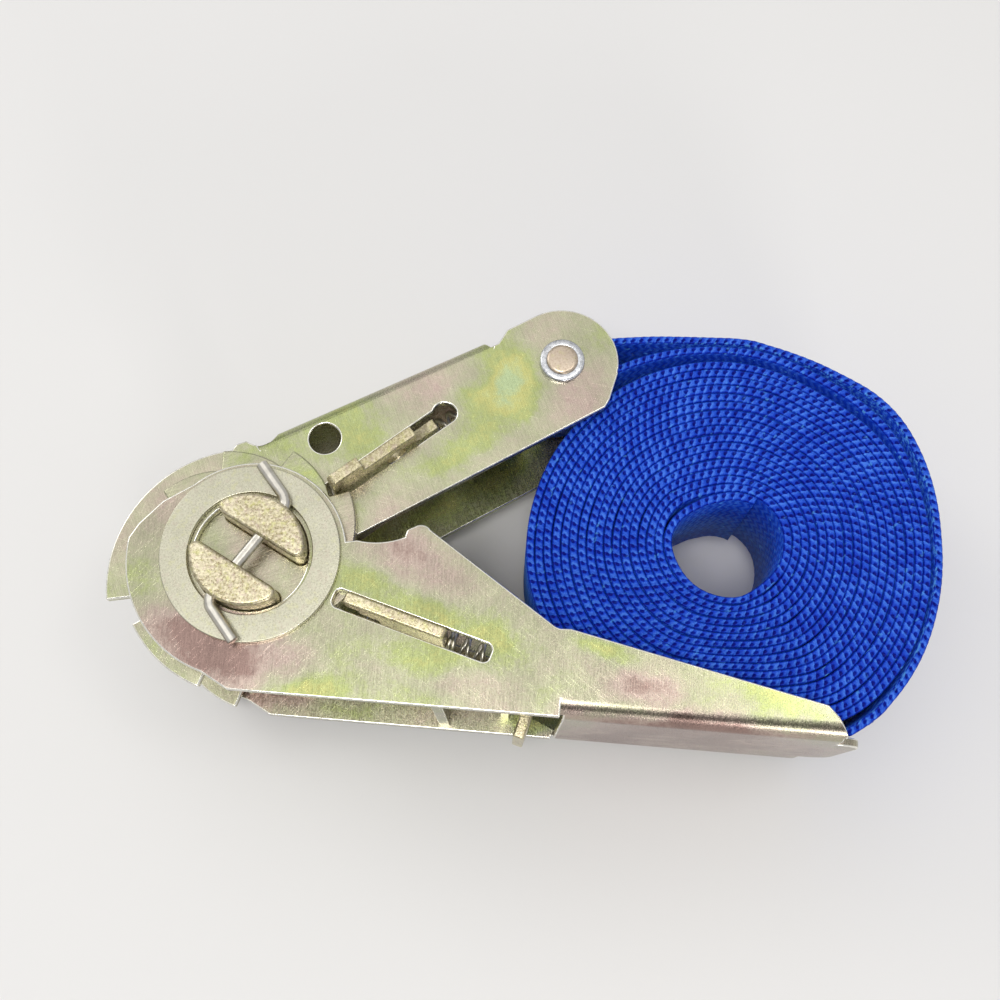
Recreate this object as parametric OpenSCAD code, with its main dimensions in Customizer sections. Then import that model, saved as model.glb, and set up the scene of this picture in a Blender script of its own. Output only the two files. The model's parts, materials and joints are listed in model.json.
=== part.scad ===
// Ratchet strap: an endless ratchet tie-down for 25 mm webbing, with its webbing wound in a coil.
// It lies on its side. Z is the spindle's axis, the origin is on that axis midway between the plates,
// +X runs along the handle, and +Y runs towards the frame arm's side. All sizes are in millimetres.

/* [Sheet metal] */
// Thickness of the frame, handle and seat plates
sheet_t = 1.5; // [1.3:0.1:1.5]
// Clear width between the two frame plates, where the webbing runs
frame_gap = 27; // [26.4:0.1:27.2]
// Gap between two plates that slide on each other
slip_gap = 0.2; // [0.15:0.05:0.25]
// Outside radius of the bend between the frame's web and its plates
frame_bend_r = 2.2; // [1.8:0.1:2.4]
// Outside radius of the bend between the handle's grip and its plates
grip_bend_r = 3; // [2.5:0.1:3.2]

/* [Ratchet wheels] */
// Number of teeth
tooth_count = 10; // [10]
// Radius over the tooth tips
tooth_tip_r = 18.9; // [18.6:0.1:18.9]
// Radius at the foot of each tooth's steep face
tooth_root_r = 15.8; // [15.4:0.1:16]
// Thickness of a ratchet wheel
wheel_t = 2.5; // [2.2:0.1:2.5]
// Direction of the first tooth's tip, in degrees from +X
first_tip_deg = 36.3; // [36:0.1:36.6]

/* [Spindle] */
// Radius of the split spindle
spindle_r = 9.1; // [9:0.05:9.1]
// Width of the slot between the two half shafts, which the webbing passes through
slot_w = 5.6; // [5:0.1:6]
// Radius of the two long rounded corners of a half shaft
half_shaft_corner_r = 1.3; // [1:0.1:1.6]
// Direction of the slot, in degrees from +X
slot_deg = -32; // [-34:0.5:-30]
// How far the half shafts stand out of the hub washers
shaft_end_h = 2.9; // [2.7:0.1:3.1]
// Radial clearance of the spindle in the plates
spindle_clearance = 0.1; // [0.08:0.01:0.1]

/* [Hub washers and split pins] */
// Outer radius of a hub washer
hub_washer_r = 14.4; // [14:0.1:14.6]
// Inner radius of a hub washer
hub_washer_hole_r = 9.95; // [9.7:0.05:10.1]
// Thickness of a hub washer
hub_washer_t = 1; // [0.8:0.1:1.1]
// Radius of a split pin
split_pin_r = 0.95; // [0.85:0.05:1]
// Direction of a split pin, in degrees from +X
split_pin_deg = 53; // [51:1:56]
// Angle that each end of a split pin is bent by
split_pin_bend_deg = 73; // [65:1:80]
// Length of the straight bent leg
split_pin_leg = 6.2; // [5.5:0.1:6.6]

/* [Frame] */
// Radius of the frame's round end
arm_end_r = 9.7; // [9.5:0.1:9.8]
// Place of the strap pin, from the spindle's axis
strap_pin_at = [50.4, 34.8];
// Radius of the strap pin
strap_pin_r = 3; // [2.8:0.05:3]
// Place of the cross hole through both plates
cross_hole_at = [10.4, 21];
// Radius of the cross hole
cross_hole_r = 2.65; // [2.4:0.05:2.7]
// Radius of the frame's bow, which stops the open handle
bow_r = 22.2; // [22:0.1:22.3]
// Radius of the cam lobe that the drive pawl passes on the way to fully open
lobe_r = 22.1; // [21.9:0.1:22.1]

/* [Handle] */
// Radius of the handle's hub on the side away from the lock pawl
handle_hub_r = 20; // [19.6:0.1:20]
// Slope of the handle's lower edge, in degrees
grip_deg = -4.72; // [-4.8:0.01:-4.6]
// Distance of the handle's lower edge below the spindle's axis, at X = 0
grip_drop = 21.75; // [21.6:0.05:21.9]
// Where the closed grip starts, along +X
grip_start_x = 49.5; // [49.5:0.1:51]
// Where the handle's plates end, along +X
handle_end_x = 93.6; // [93:0.1:94]

/* [Pawls] */
// Thickness of both pawl plates
pawl_t = 1.9; // [1.7:0.05:1.9]
// Direction that the lock pawl slides in, in degrees from +X
lock_deg = 36.5; // [36.3:0.1:36.7]
// Direction that the drive pawl slides in, in degrees from +X
drive_deg = -20.5; // [-20.7:0.1:-20.3]

/* [Webbing] */
// Width of the webbing
webbing_w = 25; // [25]
// Thickness of the webbing
webbing_t = 1.3; // [1.2:0.05:1.4]
// Centre of the wound coil
coil_at = [78.4, 4.6];
// Centre of the coil's open middle
coil_hole_at = [77.8, 2.8];
// Outer radius of the wound coil, without its sewn outer end
coil_r = 34.7; // [34:0.1:34.8]
// Radius of the open middle of the coil
coil_hole_r = 8.4; // [8:0.1:9.2]

/* [Hidden] */
$fn = 64;

zinc = [0.80, 0.74, 0.56];
dark_zinc = [0.66, 0.60, 0.44];
bright_zinc = [0.86, 0.82, 0.68];
steel = [0.75, 0.76, 0.78];
blue = [0.06, 0.16, 0.62];
eps = 0.01;

// Levels above the mid-plane, from the inside out
frame_in = frame_gap / 2;
frame_out = frame_in + sheet_t;
wheel_in = frame_out + slip_gap;
wheel_out = wheel_in + wheel_t;
handle_in = wheel_out + slip_gap;
handle_out = handle_in + sheet_t;
washer_in = handle_out + slip_gap / 2;
washer_out = washer_in + hub_washer_t;
split_pin_z = washer_out + split_pin_r + 0.25;
shaft_end = washer_out + shaft_end_h;

bore_r = spindle_r + spindle_clearance;
tooth_pitch = 360 / tooth_count;

// The web along the top of the frame's arm
web_from = [2.3, 22.4];
web_deg = 25.3;
web_len = 38.4;

// The lock pawl and its slot, as distances along its slide and across it
lock_face = 0.95;
lock_tip_u = 16.7;
lock_step_u = 22.6;
lock_back_u = 33;
lock_tail_u = 37.3;
lock_tip_z = 21.4;
lock_back_z = 18.7;
lock_tail_z = 15.2;
lock_slot_w = [0.5, 3.9];
lock_slot_u = [14.5, 41.6];
lock_seat_u = 51.5;
spring_z = 8.5;
spring_r = 2.5;
spring_wire = 0.7;

// The drive pawl and its slot, as distances along its slide and across it
drive_face = -2.3;
drive_ear_u = 16.84;
drive_tooth_u = 19.05;
drive_front_u = 22.4;
drive_back_u = 33.9;
drive_ear_z = 21;
drive_slot_w = [-3.15, -0.2];
drive_slot_u = [15.05, 41.5];
drive_seat_u = 45;
drive_tab_u = 48.8;
drive_spring_z = 12.6;

function polar(r, a) = [r * cos(a), r * sin(a)];
function arc(c, r, from, to, n) = [for (i = [0:n]) c + polar(r, from + (to - from) * i / n)];
function lower_edge(x) = [x, -grip_drop + x * tan(grip_deg)];

// A bar of webbing or sheet between two points in the plane
module bar_2d(p, q, t) {
    d = q - p;
    translate(p) rotate(atan2(d[1], d[0])) translate([0, -t / 2]) square([norm(d), t]);
}

// A slot with round ends, along X from u[0] to u[1] and across from w[0] to w[1]
module slot_2d(u, w, r) {
    translate([u[0] + r, w[0]]) square([u[1] - u[0] - 2 * r, w[1] - w[0]]);
    translate([u[0], w[0] + r]) square([u[1] - u[0], w[1] - w[0] - 2 * r + eps]);
    for (x = [u[0] + r, u[1] - r], y = [w[0] + r, w[1] - r]) translate([x, y]) circle(r);
}

// The same flat shape on both sides of the mid-plane
module both_sides(z_in, t) {
    for (side = [0, 1]) mirror([0, 0, side]) translate([0, 0, z_in]) linear_extrude(t) children();
}

// What a bend of radius r removes from a square corner, along X
module bend_cut(length, r) {
    rotate([90, 0, 90]) linear_extrude(length) difference() {
        translate([-r, -r]) square(r + 1);
        translate([-r, -r]) circle(r);
        translate([-r - 1, -r - 1]) square([1, r + 2]);
        translate([-r - 1, -r - 1]) square([r + 2, 1]);
        translate([-r, -r]) square([0.001, 0.001]);
    }
}

// ---- frame ----

module frame_plate_2d() {
    difference() {
        union() {
            circle(16);
            intersection() {
                translate([-2, -3]) circle(bow_r, $fn = 128);
                polygon([[0, -3.6], [-30, -7.3], [-30, 30], [-4, 30], [0, 0]]);
            }
            intersection() {
                circle(lobe_r, $fn = 128);
                polygon([[0, 0], polar(40, -151.7), polar(40, -111.6)]);
            }
            intersection() {
                circle(20.4, $fn = 128);
                polygon([[0, 0], polar(40, -164), polar(40, -150)]);
            }
            polygon([[-5.6, 18.3], [-4.4, 20], [-3.1, 20.5], [1, 21.8], web_from,
                web_from + polar(web_len, web_deg), [38.3, 37.7], [39.5, 38.3], [41, 40.8], [46.3, 43.6],
                strap_pin_at, [60, 33], [58.4, 28], [57.6, 26.6], [15.8, 3.9], [0, 0]]);
            translate(strap_pin_at) circle(arm_end_r, $fn = 96);
        }
        circle(bore_r);
        translate([-0.75, 22.85]) circle(2.95);
        translate(cross_hole_at) circle(cross_hole_r);
        translate(strap_pin_at) circle(strap_pin_r);
        rotate(lock_deg) {
            slot_2d(lock_slot_u, lock_slot_w, 1.65);
            translate([39.5, 2.45]) circle(1.9);
        }
    }
}

module frame() {
    color(zinc) difference() {
        union() {
            both_sides(frame_in, sheet_t) frame_plate_2d();
            translate([web_from[0], web_from[1], 0]) rotate(web_deg)
                translate([0, -sheet_t, -frame_out]) cube([web_len, sheet_t, 2 * frame_out]);
            rotate(lock_deg) translate([lock_seat_u, -1.6, -frame_in])
                cube([sheet_t, 10.1, 2 * frame_in]);
        }
        translate([web_from[0], web_from[1], 0]) rotate(web_deg)
            for (side = [0, 1]) mirror([0, 0, side])
                translate([-4, 0, frame_out]) bend_cut(web_len + 5, frame_bend_r);
    }
}

module strap_pin() {
    color(bright_zinc) translate([strap_pin_at[0], strap_pin_at[1], 0]) {
        cylinder(r = strap_pin_r - 0.02, h = 2 * frame_out + 2.4, center = true);
        for (side = [0, 1]) mirror([0, 0, side]) translate([0, 0, frame_out + 1.2])
            cylinder(r1 = strap_pin_r - 0.1, r2 = strap_pin_r - 0.5, h = 0.3);
    }
}

module pin_washer() {
    translate([strap_pin_at[0], strap_pin_at[1], frame_out]) rotate_extrude()
        polygon([[strap_pin_r, 0], [3.85, 0], [3.85, 0.75], [3.5, 1.15], [strap_pin_r, 1.15]]);
}

module pin_washer_top() {
    color(steel) pin_washer();
}

module pin_washer_bottom() {
    color(steel) mirror([0, 0, 1]) pin_washer();
}

// ---- lock pawl ----

// Upper half of the lock pawl's side view: distance along the slide, and height
lock_half = [
    [lock_tip_u, 0], [lock_tip_u, lock_tip_z - 0.6], [lock_tip_u + 0.6, lock_tip_z],
    [lock_step_u, lock_tip_z], [lock_step_u, lock_back_z + 0.5], [lock_step_u + 0.5, lock_back_z],
    [lock_back_u, lock_back_z], [lock_back_u, lock_tail_z], [lock_tail_u, lock_tail_z],
    [lock_tail_u, 12.2], [lock_back_u, 12.2], [lock_back_u, 4], [lock_tail_u, 4], [lock_tail_u, 0]
];
lock_half_points = len(lock_half);

module lock_pawl_side_2d() {
    difference() {
        polygon(concat(lock_half, [for (i = [2:lock_half_points - 1])
            [lock_half[lock_half_points - i][0], -lock_half[lock_half_points - i][1]]]));
        for (side = [-1, 1]) translate([28.8, side * 14.8]) circle(1.9);
    }
}

module lock_pawl() {
    color(dark_zinc) rotate(lock_deg) translate([0, lock_face + pawl_t, 0]) rotate([90, 0, 0])
        linear_extrude(pawl_t) lock_pawl_side_2d();
}

// A spring's outer shape, from one distance along the slide to another
module spring_tube(from, to, across, z) {
    translate([from, across, z]) rotate([0, 90, 0]) difference() {
        cylinder(r = spring_r, h = to - from);
        translate([0, 0, -1]) cylinder(r = spring_r - spring_wire, h = to - from + 2);
    }
}

module lock_spring_top() {
    color(steel) rotate(lock_deg)
        spring_tube(lock_back_u, lock_seat_u, lock_face + pawl_t / 2, spring_z);
}

module lock_spring_bottom() {
    color(steel) rotate(lock_deg)
        spring_tube(lock_back_u, lock_seat_u, lock_face + pawl_t / 2, -spring_z);
}

// ---- handle ----

// The hub is small where it passes the lock pawl, and rises in a cam that lifts the pawl as it opens
module handle_plate_2d() {
    difference() {
        polygon(concat(
            arc([0, 0], handle_hub_r, 172, 250, 24),
            [[-2.6, -21.5], lower_edge(2.5), lower_edge(handle_end_x - 1.2), lower_edge(handle_end_x) + [0, 0.7]],
            [[93.3, -28.2], [92.1, -25.7], [90.6, -23.9], [51, -12]],
            arc([50.2, -8.9], 3.2, -107, -127, 3),
            [[28.6, 4.1]],
            arc([27.1, 2.9], 2, 40, 125, 6),
            [[24.9, 4.1], [24.5, 3]],
            arc([19.9, 14.6], 12.6, -68.5, -104, 8),
            arc([0, 0], 15.3, 8, 130, 40),
            [[-14.7, 8.9], [-18.4, 5.1]]
        ));
        circle(bore_r);
        rotate(drive_deg) slot_2d(drive_slot_u, drive_slot_w, 1);
    }
}

// The grip's bottom: the web between the plates, with its thumb lip
module grip_web() {
    start = lower_edge(grip_start_x);
    length = (handle_end_x - grip_start_x) / cos(grip_deg);
    translate([start[0], start[1], 0]) rotate(grip_deg) {
        translate([0, 0, -handle_out]) cube([length - 0.6, sheet_t, 2 * handle_out]);
        rotate([-90, 0, 0]) linear_extrude(sheet_t) difference() {
            translate([length - 2, -12]) square([6, 24]);
            for (side = [0, 1]) mirror([0, side]) difference() {
                translate([length, 8]) square([5, 5]);
                translate([length, 8]) circle(4);
            }
        }
    }
}

module handle() {
    start = lower_edge(grip_start_x);
    length = (handle_end_x - grip_start_x) / cos(grip_deg);
    color(zinc) difference() {
        union() {
            both_sides(handle_in, sheet_t) handle_plate_2d();
            grip_web();
        }
        translate([start[0], start[1], 0]) rotate(grip_deg)
            for (side = [0, 1]) mirror([0, 0, side]) translate([-0.5, 0, handle_out]) mirror([0, 1, 0])
                bend_cut(length + 2, grip_bend_r);
    }
}

module handle_cross_bar() {
    color(zinc) translate([28.7, -23.4, -handle_in]) cube([1.8, 2.6, 2 * handle_in]);
}

// The plate across the handle that the drive springs push against, with a window for the pawl's tongue
module drive_spring_seat() {
    color(dark_zinc) rotate(drive_deg) difference() {
        translate([drive_seat_u, -6.5, -handle_in]) cube([sheet_t, 8.5, 2 * handle_in]);
        translate([drive_seat_u - 1, drive_face - 0.5, -8.6]) cube([sheet_t + 2, pawl_t + 1, 17.2]);
    }
}

// ---- drive pawl ----

// Side view of the drive pawl: its distance along the slide, and its height
module drive_pawl_side_2d() {
    translate([drive_front_u, -wheel_in]) square([drive_back_u - drive_front_u, 2 * wheel_in]);
    translate([drive_back_u - 2, -8]) square([drive_tab_u - drive_back_u + 2 + pawl_t, 16]);
    for (side = [0, 1]) mirror([0, side]) {
        translate([drive_tooth_u, wheel_in - 0.1])
            square([drive_back_u - drive_tooth_u, handle_in - wheel_in]);
        translate([drive_ear_u + 0.7, handle_in - 0.2])
            square([drive_back_u - drive_ear_u - 1.4, drive_ear_z - handle_in + 0.2]);
        translate([drive_ear_u, handle_in - 0.1])
            square([drive_back_u - drive_ear_u, drive_ear_z - handle_in - 0.6]);
        for (x = [drive_ear_u + 0.7, drive_back_u - 0.7])
            translate([x, drive_ear_z - 0.7]) circle(0.7, $fn = 32);
    }
}

module drive_pawl() {
    color(dark_zinc) rotate(drive_deg) {
        translate([0, drive_face + pawl_t, 0]) rotate([90, 0, 0]) linear_extrude(pawl_t) drive_pawl_side_2d();
        translate([drive_tab_u, -11.2, -8]) cube([pawl_t, drive_face + pawl_t + 11.2, 16]);
    }
}

module drive_spring_top() {
    color(steel) rotate(drive_deg)
        spring_tube(drive_back_u, drive_seat_u, drive_face + pawl_t / 2, drive_spring_z);
}

module drive_spring_bottom() {
    color(steel) rotate(drive_deg)
        spring_tube(drive_back_u, drive_seat_u, drive_face + pawl_t / 2, -drive_spring_z);
}

// ---- spindle ----

// A half shaft's section, on the +Y side of the slot: a flat, a round back and two rounded corners
module half_moon_2d() {
    corner_y = slot_w / 2 + half_shaft_corner_r;
    corner_x = sqrt(pow(spindle_r - half_shaft_corner_r, 2) - pow(corner_y, 2));
    intersection() {
        circle(spindle_r, $fn = 96);
        polygon([[-corner_x, slot_w / 2], [corner_x, slot_w / 2], [corner_x, corner_y],
            3 * [corner_x, corner_y], 3 * [-corner_x, corner_y], [-corner_x, corner_y]]);
    }
    for (side = [-1, 1]) translate([side * corner_x, corner_y]) circle(half_shaft_corner_r);
}

// One half shaft, on the +Y side of the slot before it is turned
module half_shaft() {
    difference() {
        linear_extrude(2 * shaft_end, center = true) half_moon_2d();
        rotate(split_pin_deg - slot_deg) for (z = [-split_pin_z, split_pin_z])
            translate([0, 0, z]) rotate([0, 90, 0])
                cylinder(r = split_pin_r + 0.05, h = 2 * spindle_r + 4, center = true, $fn = 32);
    }
}

module spindle_half_upper() {
    color(bright_zinc) rotate(slot_deg) half_shaft();
}

module spindle_half_lower() {
    color(bright_zinc) rotate(slot_deg + 180) half_shaft();
}

// One tooth: a steep face on its anticlockwise side, and a back that falls in a convex curve
function tooth(i) = let (a = first_tip_deg + i * tooth_pitch, fall = tooth_tip_r - tooth_root_r)
    concat(
        [for (k = [0:6]) polar(tooth_root_r + fall * pow(k / 6, 0.9), a - (tooth_pitch - 4.4) * (1 - k / 6))],
        [polar(tooth_root_r, a + 4)]
    );

// The middle of each wheel is closed between the two half shafts
module ratchet_wheel() {
    translate([0, 0, wheel_in]) linear_extrude(wheel_t) difference() {
        polygon([for (i = [0:tooth_count - 1]) each tooth(i)]);
        rotate(slot_deg) for (side = [0, 1]) mirror([0, side]) half_moon_2d();
    }
}

module ratchet_wheel_top() {
    color(zinc) ratchet_wheel();
}

module ratchet_wheel_bottom() {
    color(zinc) mirror([0, 0, 1]) ratchet_wheel();
}

module hub_washer() {
    translate([0, 0, washer_in]) linear_extrude(hub_washer_t) difference() {
        circle(hub_washer_r, $fn = 96);
        circle(hub_washer_hole_r, $fn = 96);
    }
}

module hub_washer_top() {
    color(bright_zinc) hub_washer();
}

module hub_washer_bottom() {
    color(bright_zinc) mirror([0, 0, 1]) hub_washer();
}

// The way from a split pin's middle out along +X, round its bend and along its leg
pin_shank = 8.3;
pin_bend_r = 2.3;
pin_bend = concat(
    [for (i = [0:8]) let (a = split_pin_bend_deg * i / 8)
        [pin_shank + pin_bend_r * sin(a), pin_bend_r * (1 - cos(a))]]
);
pin_half = concat(pin_bend, [
    pin_bend[8] + polar(split_pin_leg - 0.35, split_pin_bend_deg),
    pin_bend[8] + polar(split_pin_leg, split_pin_bend_deg)
]);
pin_points = len(pin_half);
pin_path = concat([for (i = [1:pin_points]) -pin_half[pin_points - i]], pin_half);
pin_rings = len(pin_path);
pin_sides = 16;

// The pin's direction at one of its points, between the ways in and out
function pin_turn(i) = let (
        d = pin_path[min(i + 1, pin_rings - 1)] - pin_path[max(i - 1, 0)]
    ) atan2(d[1], d[0]);
function pin_ring_r(i) = (i == 0 || i == pin_rings - 1) ? 0.65 * split_pin_r : split_pin_r;

module split_pin() {
    points = [for (i = [0:pin_rings - 1], k = [0:pin_sides - 1])
        let (a = 360 * k / pin_sides, side = polar(pin_ring_r(i) * cos(a), pin_turn(i) + 90))
        [pin_path[i][0] + side[0], pin_path[i][1] + side[1], pin_ring_r(i) * sin(a)]];
    walls = [for (i = [0:pin_rings - 2], k = [0:pin_sides - 1]) let (n = (k + 1) % pin_sides)
        [i * pin_sides + k, i * pin_sides + n, (i + 1) * pin_sides + n, (i + 1) * pin_sides + k]];
    ends = [
        [for (k = [1:pin_sides]) pin_sides - k],
        [for (k = [0:pin_sides - 1]) (pin_rings - 1) * pin_sides + k]
    ];
    translate([0, 0, split_pin_z]) rotate(split_pin_deg) polyhedron(points, concat(walls, ends));
}

module split_pin_top() {
    color(steel) split_pin();
}

module split_pin_bottom() {
    color(steel) mirror([0, 0, 1]) split_pin();
}

// ---- webbing ----

// The wound coil, the sewn end outside it, and the loop round the strap pin
module strap_2d() {
    loop_r = strap_pin_r + 0.08;
    difference() {
        union() {
            translate(coil_at) circle(coil_r, $fn = 128);
            translate(coil_at) intersection() {
                circle(coil_r + webbing_t, $fn = 128);
                polygon([[0, 0], polar(60, -64), polar(60, -20), polar(60, 30), polar(60, 94)]);
            }
            bar_2d([50.2, 38.5], [76.4, 40.2], webbing_t);
            bar_2d([51.7, 31.3], [68, 37.1], webbing_t);
            bar_2d([67.8, 37.05], [78, 38.75], webbing_t);
            translate(strap_pin_at) circle(loop_r + webbing_t);
        }
        translate(strap_pin_at) circle(loop_r);
        translate(coil_hole_at) circle(coil_hole_r);
        translate(lower_edge(0)) rotate(grip_deg) translate([0, sheet_t + 0.45 - 40]) square([140, 40]);
    }
}

module strap() {
    color(blue) linear_extrude(webbing_w, center = true) strap_2d();
}

frame();
strap_pin();
pin_washer_top();
pin_washer_bottom();
lock_pawl();
lock_spring_top();
lock_spring_bottom();
handle();
handle_cross_bar();
drive_spring_seat();
drive_pawl();
drive_spring_top();
drive_spring_bottom();
spindle_half_upper();
spindle_half_lower();
ratchet_wheel_top();
ratchet_wheel_bottom();
hub_washer_top();
hub_washer_bottom();
split_pin_top();
split_pin_bottom();
strap();
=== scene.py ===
import json
import math

import bmesh
import bpy
import numpy as np
from mathutils.bvhtree import BVHTree
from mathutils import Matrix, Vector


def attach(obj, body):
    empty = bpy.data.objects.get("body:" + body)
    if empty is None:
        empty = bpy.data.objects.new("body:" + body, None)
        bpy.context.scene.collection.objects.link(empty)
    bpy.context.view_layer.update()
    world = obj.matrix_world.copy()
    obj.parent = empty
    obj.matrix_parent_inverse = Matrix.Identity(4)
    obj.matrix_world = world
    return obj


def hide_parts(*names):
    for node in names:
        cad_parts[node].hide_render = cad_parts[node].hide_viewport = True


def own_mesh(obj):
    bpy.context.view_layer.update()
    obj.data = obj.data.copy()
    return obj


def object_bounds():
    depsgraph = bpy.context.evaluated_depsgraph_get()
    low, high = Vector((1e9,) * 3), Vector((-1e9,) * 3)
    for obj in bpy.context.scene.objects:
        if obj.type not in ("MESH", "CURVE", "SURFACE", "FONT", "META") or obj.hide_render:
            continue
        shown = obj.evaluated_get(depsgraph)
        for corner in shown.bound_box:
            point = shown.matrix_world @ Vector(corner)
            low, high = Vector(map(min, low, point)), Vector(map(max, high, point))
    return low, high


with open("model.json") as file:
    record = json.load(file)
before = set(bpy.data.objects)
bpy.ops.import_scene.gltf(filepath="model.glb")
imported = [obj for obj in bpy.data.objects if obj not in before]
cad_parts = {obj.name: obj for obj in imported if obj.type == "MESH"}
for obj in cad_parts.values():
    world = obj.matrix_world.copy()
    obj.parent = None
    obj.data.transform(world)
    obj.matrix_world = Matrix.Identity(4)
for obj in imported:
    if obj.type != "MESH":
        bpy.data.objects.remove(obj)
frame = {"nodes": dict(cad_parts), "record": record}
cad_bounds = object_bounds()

# The look of a ratchet strap lying on its side. Its pieces are placed in millimetres in the part's own
# frame, with the spindle's axis as Z, and turned into metres where a mesh is made. The camera and the
# lights are placed in metres.
MM = 0.001
NODES = frame["nodes"]
BODY_OF = {
    node: body
    for body, names in frame["record"]["behaviour"]["bodies"].items()
    for node in names
}
# The sign of Z at each end of the spindle, and its word in the names of nodes
ENDS = ((1, "top"), (-1, "bottom"))


# ---- camera and light ----

CAMERA_PLACE = (0.03979, -0.04537, 0.20895)
CAMERA_TILT_DEG = 16
FOCAL_LENGTH = 43.92
SENSOR_WIDTH = 36

NEUTRAL = (1.0, 0.99, 0.97)
WARM = (1.0, 0.98, 0.92)
LIGHT_AIM = (0.04, 0.0, 0.0)
# Soft boxes that face LIGHT_AIM: name, place, size, power and colour
LIGHTS = [
    ("key_light", (-0.10, 0.25, 0.85), 0.80, 1.15, NEUTRAL),
    ("top_light", (-0.05, -0.22, 0.90), 0.26, 3.0, NEUTRAL),
    ("side_light", (-0.60, 0.45, 0.50), 0.35, 1.2, NEUTRAL),
    ("glow_light", (0.27, 0.04, 0.60), 0.14, 0.30, WARM),
    ("edge_light", (0.30, -0.75, 0.28), 0.22, 1.5, NEUTRAL),
]

WORLD_COLOUR = (0.98, 0.985, 1.0)
WORLD_STRENGTH = 0.62
# The world is dimmer round one direction. Its two limits are cosines of the angle from there.
DIM_WAY = (0.10, -0.66, 0.74)
DIM_STRENGTH = 0.05
DIM_STARTS = 0.84
DIM_FULL = 0.96


def add_object(name, data):
    """A new object of that data, in the scene."""
    obj = bpy.data.objects.new(name, data)
    bpy.context.scene.collection.objects.link(obj)
    return obj


def add_camera():
    """A camera above the part, tilted a little, as far off as a hand-held one."""
    data = bpy.data.cameras.new("camera")
    data.sensor_width = SENSOR_WIDTH
    data.lens = FOCAL_LENGTH
    data.clip_start = 0.005
    data.clip_end = 20
    camera = add_object("camera", data)
    camera.location = CAMERA_PLACE
    camera.rotation_euler = (math.radians(CAMERA_TILT_DEG), 0, 0)
    bpy.context.scene.camera = camera


def add_area_light(name, place, size, power, colour):
    """A square soft box at place, facing LIGHT_AIM."""
    data = bpy.data.lights.new(name, "AREA")
    data.shape = "SQUARE"
    data.size = size
    data.energy = power
    data.color = colour
    light = add_object(name, data)
    light.location = place
    way = Vector(LIGHT_AIM) - Vector(place)
    light.rotation_euler = way.to_track_quat("-Z", "Y").to_euler()


def set_world():
    """Even light from all round, but for a soft dim patch where somebody stands."""
    world = bpy.data.worlds.new("world")
    bpy.context.scene.world = world
    world.use_nodes = True
    tree = world.node_tree
    background = tree.nodes["Background"]
    background.inputs["Color"].default_value = (*WORLD_COLOUR, 1)
    way = tree.nodes.new("ShaderNodeTexCoord")
    along = tree.nodes.new("ShaderNodeVectorMath")
    along.operation = "DOT_PRODUCT"
    along.inputs[1].default_value = Vector(DIM_WAY).normalized()
    dim = tree.nodes.new("ShaderNodeMapRange")
    dim.interpolation_type = "SMOOTHSTEP"
    dim.inputs["From Min"].default_value = DIM_STARTS
    dim.inputs["From Max"].default_value = DIM_FULL
    dim.inputs["To Min"].default_value = WORLD_STRENGTH
    dim.inputs["To Max"].default_value = DIM_STRENGTH
    tree.links.new(way.outputs["Generated"], along.inputs[0])
    tree.links.new(along.outputs["Value"], dim.inputs["Value"])
    tree.links.new(dim.outputs["Result"], background.inputs["Strength"])


# ---- materials ----


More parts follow.
